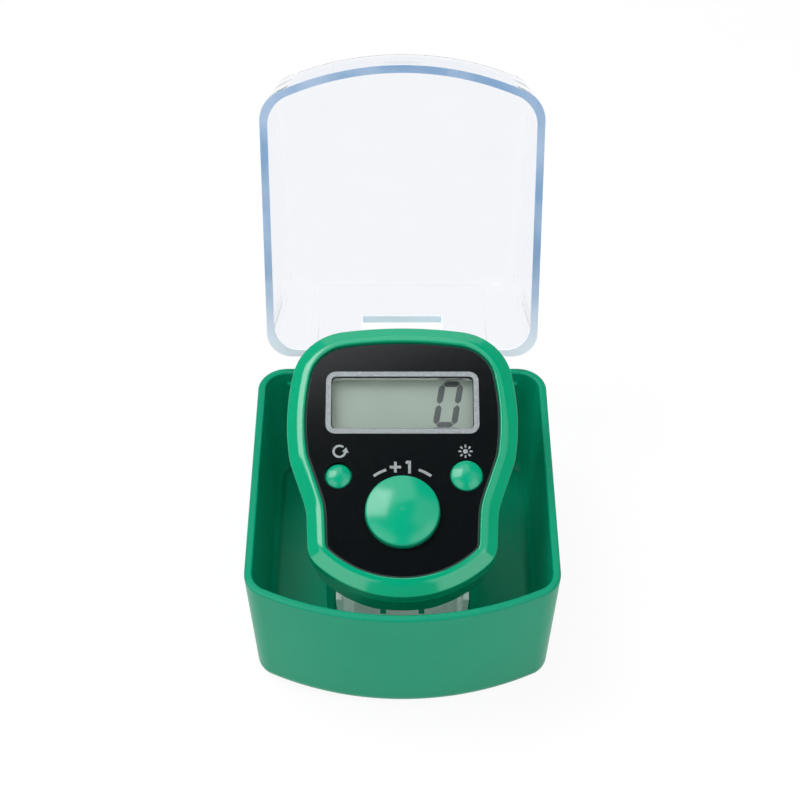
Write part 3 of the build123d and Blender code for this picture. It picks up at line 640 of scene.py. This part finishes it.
class TASBIH_OT_face(bpy.types.Operator):
    """Finishes the plate, lens and display, and adds the silver print and the lit figure"""

    bl_idname = "tasbih.face"
    bl_label = "Face and display"

    def frame_line(self, marks):
        """Band round the display: a rounded loop, half a line inside the frame's outer edge."""
        loop = rounded_loop(
            marks.frame_x - marks.frame_line / 2,
            marks.frame_y - marks.frame_line / 2,
            marks.frame_radius - marks.frame_line / 2,
        )
        return stroke(loop + np.array([0, marks.frame_centre]), marks.frame_line, closed=True)

    def return_arrow(self, centre, radius, width):
        """Open ring with an arrow head: a stroke on a circle, and a triangle along its last tangent."""
        path = circle_path(centre, radius, 50, 350, 40)
        end = path[-1]
        outward = (end - np.array(centre)) / radius
        forward = np.array([-outward[1], outward[0]])
        half_head = outward * width * 1.5
        head = [end - half_head, end + half_head, end + forward * width * 2.4]
        return [stroke(path, width), polygon(head)]

    def lamp_mark(self, centre, radius, width):
        """Small disc with eight rays: strokes between the points of two circles about it."""
        disc = polygon(circle_path(centre, radius * 0.42, 0, 345, 24))
        inner, outer = (circle_path(centre, radius * share, 0, 315, 8) for share in (0.7, 1.2))
        return [disc] + [stroke(ray, width * 0.75) for ray in np.stack([inner, outer], axis=1)]

    def step_mark(self, marks):
        """Plus and one over the large button, with a curved stroke to each side on the same arc."""
        centre = (0, marks.count_y)
        arc = marks.count_arc
        width = marks.stroke * 1.25
        reach = marks.mark_radius * 0.95
        left = np.array([-reach * 1.25, marks.count_y + arc])
        right = np.array([reach * 1.25, marks.count_y + arc])
        span = 17
        parts = [stroke(circle_path(centre, arc, start, start + span, 16), width) for start in (53, 110)]
        parts.append(stroke(left + np.array([[-reach, 0], [reach, 0]]), width))
        parts.append(stroke(left + np.array([[0, reach], [0, width / 2]]), width))
        parts.append(stroke(left + np.array([[0, -width / 2], [0, -reach]]), width))
        parts.append(stroke(right + np.array([[0, reach * 1.2], [0, -reach * 1.2]]), width))
        flag = np.array([[-reach * 0.6, reach * 0.7], [-width / 2, reach * 1.15]])
        parts.append(stroke(right + flag, width))
        return parts

    def figure(self, marks, lit):
        """Seven-segment figure: bars with pointed ends, then sheared by the slant."""
        half_x = marks.figure_width / 2 - marks.figure_line / 2
        half_y = marks.figure_height / 2 - marks.figure_line / 2
        thick = marks.figure_line / 2
        gap = marks.figure_gap
        corners = {
            "top": ((-half_x, half_y), (half_x, half_y)),
            "middle": ((-half_x, 0), (half_x, 0)),
            "bottom": ((-half_x, -half_y), (half_x, -half_y)),
            "upper_left": ((-half_x, 0), (-half_x, half_y)),
            "upper_right": ((half_x, 0), (half_x, half_y)),
            "lower_left": ((-half_x, -half_y), (-half_x, 0)),
            "lower_right": ((half_x, -half_y), (half_x, 0)),
        }
        parts = []
        for segment in lit:
            start, end = np.array(corners[segment], float)
            along = (end - start) / np.linalg.norm(end - start)
            aside = np.array([-along[1], along[0]]) * thick
            start = start + along * gap
            end = end - along * gap
            outline = np.array(
                [
                    start,
                    start + along * thick - aside,
                    end - along * thick - aside,
                    end,
                    end - along * thick + aside,
                    start + along * thick + aside,
                ]
            )
            outline[:, 0] += outline[:, 1] * math.tan(marks.figure_slant)
            parts.append(polygon(outline + np.array([marks.figure_x, marks.figure_y])))
        return parts

    def execute(self, context):
        scene = context.scene
        tones = scene.tasbih_colours
        marks = scene.tasbih_print
        sizes = scene.tasbih_counter
        dress("face_plate", gloss_black("gloss_black", tones.plate, tones.plate_edge_highlight, sizes.tilt))
        dress("lcd_window", clear_pane("clear_window"))
        dress("lcd_glass", display_cell("display_grey", tones.display))
        silver = silver_print("silver_print", tones.silver)
        parts = [self.frame_line(marks)]
        parts += self.return_arrow((-marks.mark_x, marks.mark_y), marks.mark_radius, marks.stroke)
        parts += self.lamp_mark((marks.mark_x, marks.mark_y), marks.mark_radius, marks.stroke)
        parts += self.step_mark(marks)
        print_film = film_object("plate_print", parts, sizes, sizes.plate_top, marks.film, silver)
        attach(print_film, "counter")
        lit = ("top", "bottom", "upper_left", "upper_right", "lower_left", "lower_right")
        ink = display_ink("display_ink", tones.figure)
        segments = self.figure(marks, lit)
        figure = film_object("display_figure", segments, sizes, sizes.glass_top, marks.film, ink)
        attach(figure, "counter")
        return {"FINISHED"}


class TASBIH_OT_strap(bpy.types.Operator):
    """Makes the ladder strap whose loop carries the counter"""

    bl_idname = "tasbih.strap"
    bl_label = "Finger strap"

    def path(self, sizes):
        """Middle line of the band, from the left bead down, round two bends and up to the right bead."""
        half = sizes.strap_loop / 2 - sizes.strap_thickness / 2
        bend = sizes.strap_bend - sizes.strap_thickness / 2
        foot = sizes.strap_thickness / 2 - sizes.strap_drop
        narrow = -sizes.shoulder
        full = narrow - sizes.shoulder_step
        runs = ((-sizes.strap_top, narrow, 6), (narrow, full, 9), (full, foot + bend, 9))
        steps = np.concatenate([np.linspace(start, end, count)[:-1] for start, end, count in runs])
        down = np.stack([np.full_like(steps, -half), steps], axis=-1)
        left = circle_path((bend - half, foot + bend), bend, 180, 270, 18)
        edges = np.array([-1.0, 1.0]) * sizes.slot_width / 2
        slots = np.concatenate([side * sizes.slot_pitch / 2 + edges for side in (-1, 1)])
        run = half - bend
        across = np.unique(np.concatenate([np.linspace(-run, run, 21)[1:-1], slots]))
        flat = np.stack([across, np.full_like(across, foot)], axis=-1)
        mirror = np.array([-1.0, 1.0])
        return np.concatenate([down, left, flat, left[::-1] * mirror, down[::-1] * mirror])

    def band(self, sizes, height):
        """Middle and half width at a height: from the tongue's to the band's by a smooth step."""
        step = np.clip((-sizes.shoulder - height) / sizes.shoulder_step, 0, 1)
        share = step**2 * (3 - 2 * step)
        growth = (sizes.strap_width - sizes.tongue_width) / 2
        return sizes.strap_y - sizes.strap_lead * share, sizes.tongue_width / 2 + growth * share

    def bead(self, sizes, side):
        """Round bar along the counter: rings of one radius, drawn in at both ends and closed by flat caps."""
        soft = sizes.bead_radius / 4
        half = sizes.tongue_width / 2
        along = np.array([-half, soft - half, half - soft, half])
        radius = sizes.bead_radius - soft * np.array([1, 0, 0, 1])
        turn = np.radians(np.arange(360, 0, -15))
        middle = side * (sizes.strap_loop / 2 - sizes.strap_thickness)
        across = middle + radius[:, None] * np.cos(turn)
        height = radius[:, None] * np.sin(turn) - sizes.strap_top
        points = on_counter(sizes, across, sizes.strap_y + along[:, None], height).reshape(-1, 3)
        ring = np.arange(len(turn))
        last = (len(along) - 1) * len(turn)
        caps = [ring[::-1].tolist(), (ring + last).tolist()]
        return points, grid_faces(len(along), len(turn), True).tolist() + caps

    def execute(self, context):
        sizes = context.scene.tasbih_counter
        milky = milky_strap_painted_green("strap_clear", context.scene.tasbih_colours.strap)
        path = self.path(sizes)
        slot_share = sizes.slot_length / sizes.strap_width
        # Rows from the band's edge to the slots, as shares of its half width.
        border = np.array([-1, -0.97, -0.945])
        shares = np.concatenate([border, np.linspace(-slot_share, slot_share, 9), -border[::-1]])
        # The band is these rows carried along the path, without the faces inside its slots.
        middle, half = self.band(sizes, path[:, 1])
        along = middle[:, None] + half[:, None] * shares
        points = on_counter(sizes, path[:, None, 0], along, path[:, None, 1])
        faces = grid_faces(len(path), len(shares), False)
        on_path = path[:, 0].repeat(len(shares))[faces].mean(axis=1)
        on_width = np.tile(shares, len(path))[faces].mean(axis=1)
        in_slot = np.abs(np.abs(on_path) - sizes.slot_pitch / 2) < sizes.slot_width / 2
        depth = -path[:, 1].repeat(len(shares))[faces].mean(axis=1)
        on_foot = np.abs(depth - sizes.strap_drop) < sizes.strap_thickness
        keep = ~(in_slot & on_foot & (np.abs(on_width) < slot_share))
        strap = mesh_object("ladder_strap", points, faces[keep], milky)
        thick = strap.modifiers.new("Wall", "SOLIDIFY")
        thick.thickness = sizes.strap_thickness
        thick.offset = 0
        soft = strap.modifiers.new("Edge", "BEVEL")
        soft.width = sizes.strap_thickness / 5
        soft.segments = 3
        soft.limit_method = "ANGLE"
        soft.angle_limit = math.radians(50)
        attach(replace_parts(strap, "finger_strap"), "counter")
        beads = mesh_object("strap_beads", *joined([self.bead(sizes, side) for side in (-1, 1)]), milky)
        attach(beads, "counter")
        return {"FINISHED"}


class TASBIH_OT_inside(bpy.types.Operator):
    """Finishes the pieces inside the counter and its screws"""

    bl_idname = "tasbih.inside"
    bl_label = "Inner pieces"

    def execute(self, context):
        tones = context.scene.tasbih_colours
        steel = bright_steel("screw_steel", tones.screw)
        for node in ("case_screws", "board_screws", "door_screw"):
            dress(node, steel)
        spring = bright_steel("spring_steel", tones.spring)
        for node in ("battery_contacts", "cell_bridge"):
            dress(node, spring)
        dress("battery_cells", bright_steel("cell_steel", tones.cell))
        dress("circuit_board", board_laminate("board_green", tones.board))
        dress("chip_cover", plain_resin("resin_black", tones.resin, roughness=0.25))
        dress("contact_strips", plain_resin("rubber_grey", tones.rubber, roughness=0.6))
        dress("light_guide", clear_pane("guide_clear"))
        dress("led_lamp", plain_resin("lamp_white", tones.lamp, roughness=0.3))
        for node in ("count_switch", "reset_switch", "led_switch"):
            dress(node, plain_resin(f"{node}_black", tones.switch, roughness=0.4))
        return {"FINISHED"}


class TASBIH_OT_stage(bpy.types.Operator):
    """Makes the paper floor, the soft lamps, the even surroundings and the camera"""

    bl_idname = "tasbih.stage"
    bl_label = "Stage"

    def lamp(self, name, watts, size, place):
        """Square soft lamp at a place, facing the aim point over the origin."""
        data = bpy.data.lights.new(name, "AREA")
        data.energy = watts
        data.size = size
        made = bpy.data.objects.new(name, data)
        bpy.context.scene.collection.objects.link(made)
        made.location = place
        aim = Vector((0, 0, bpy.context.scene.tasbih_stage.lamp_aim))
        made.rotation_euler = (aim - Vector(place)).to_track_quat("-Z", "Y").to_euler()
        return made

    def floor(self, settings):
        """Large flat sheet of paper, a hair below the object: a square grid at one height."""
        steps = 13
        below = -0.02 * MM
        line = np.linspace(-settings.paper_half, settings.paper_half, steps)
        across, along = np.meshgrid(line, line, indexing="ij")
        points = np.stack([across, along, np.full_like(across, below)], axis=-1)
        finish = Finish(bpy.data.materials.new("paper"))
        fibre = finish.noise(4 * MM, 3)
        paper = finish.mix(fibre, shaded(settings.floor, 0.985), settings.floor)
        finish.surface(Base_Color=paper, Roughness=0.9)
        glow = finish.node("ShaderNodeEmission", {}, {"Color": (1, 1, 1), "Strength": 1.0})
        seen = self.seen(finish, ("Is Camera Ray", "Is Glossy Ray", "Is Transmission Ray"))
        finish.blend(seen * settings.paper_glow, Signal(finish, finish.shader.outputs[0]), glow)
        mesh_object("paper_floor", points, grid_faces(steps, steps, False), finish.owner)

    def seen(self, finish, rays):
        """One for rays of the named kinds, zero for the rest."""
        found = [finish.node("ShaderNodeLightPath", {}, {}, kind) for kind in rays]
        return sum(found[1:], found[0])

    def world(self, settings):
        """Even light that dims overhead, by the height of its direction, and is white where it is seen."""
        studio = Finish(bpy.data.worlds.new("studio"), "Background", "World Output", "Generated")
        bpy.context.scene.world = studio.owner
        height = studio.node("ShaderNodeSeparateXYZ", {}, {0: studio.place}, "Z")
        level = studio.ramp(height, [(0.0, 1.0), (0.35, 0.8), (0.7, 0.12), (1.0, 0.04)])
        studio.surface(Color=level, Strength=settings.world)
        white = studio.node("ShaderNodeBackground", {}, {"Color": (1, 1, 1), "Strength": 1.0})
        seen = self.seen(studio, ("Is Camera Ray", "Is Transmission Ray"))
        studio.blend(seen, Signal(studio, studio.shader.outputs[0]), white)

    def execute(self, context):
        scene = context.scene
        settings = scene.tasbih_stage
        self.floor(settings)
        self.world(settings)
        self.lamp("above_softbox", settings.above, size=0.34, place=(-0.06, 0.19, 0.5))
        self.lamp("left_softbox", settings.left, size=0.28, place=(-0.24, 0.07, 0.46))
        self.lamp("right_softbox", settings.right, size=0.3, place=(0.24, -0.06, 0.45))
        for side in (-1, 1):
            fill = self.lamp("front_fill", settings.fill, size=0.36, place=(0.27 * side, -0.3, 0.32))
            fill.data.use_shadow = False
        data = bpy.data.cameras.new("photo_camera")
        data.lens = settings.lens
        data.sensor_width = settings.sensor
        data.clip_start = 10 * MM
        camera = bpy.data.objects.new("photo_camera", data)
        camera.location = (settings.camera_x, settings.camera_y, settings.camera_z)
        camera.rotation_euler = (settings.camera_pitch, 0, 0)
        scene.collection.objects.link(camera)
        scene.camera = camera
        scene.view_settings.view_transform = "Standard"
        return {"FINISHED"}


class TASBIH_PT_panel(bpy.types.Panel):
    """Lists the steps that dress the counter"""

    bl_label = "Tasbih counter"
    bl_space_type = "VIEW_3D"
    bl_region_type = "UI"
    bl_category = "Tasbih"

    def draw(self, context):
        for step in STEPS:
            self.layout.operator(step.bl_idname)
        for group in GROUPS:
            settings = getattr(context.scene, group)
            for name in settings.bl_rna.properties.keys():
                if name not in ("rna_type", "name"):
                    self.layout.prop(settings, name)


GROUPS = {
    "tasbih_case": TASBIH_PG_case,
    "tasbih_counter": TASBIH_PG_counter,
    "tasbih_print": TASBIH_PG_print,
    "tasbih_colours": TASBIH_PG_colours,
    "tasbih_stage": TASBIH_PG_stage,
}
STEPS = (
    TASBIH_OT_case,
    TASBIH_OT_shell,
    TASBIH_OT_face,
    TASBIH_OT_strap,
    TASBIH_OT_inside,
    TASBIH_OT_stage,
)


def register():
    """Adds the property groups, the steps and the panel."""
    for name, group in GROUPS.items():
        bpy.utils.register_class(group)
        setattr(bpy.types.Scene, name, PointerProperty(type=group))
    for step in (*STEPS, TASBIH_PT_panel):
        bpy.utils.register_class(step)


def unregister():
    """Removes what register added."""
    for step in (TASBIH_PT_panel, *reversed(STEPS)):
        bpy.utils.unregister_class(step)
    for name, group in reversed(GROUPS.items()):
        delattr(bpy.types.Scene, name)
        bpy.utils.unregister_class(group)


def main():
    """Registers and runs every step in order."""
    register()
    bpy.ops.tasbih.case()
    bpy.ops.tasbih.shell()
    bpy.ops.tasbih.face()
    bpy.ops.tasbih.strap()
    bpy.ops.tasbih.inside()
    bpy.ops.tasbih.stage()


if __name__ == "__main__":
    main()
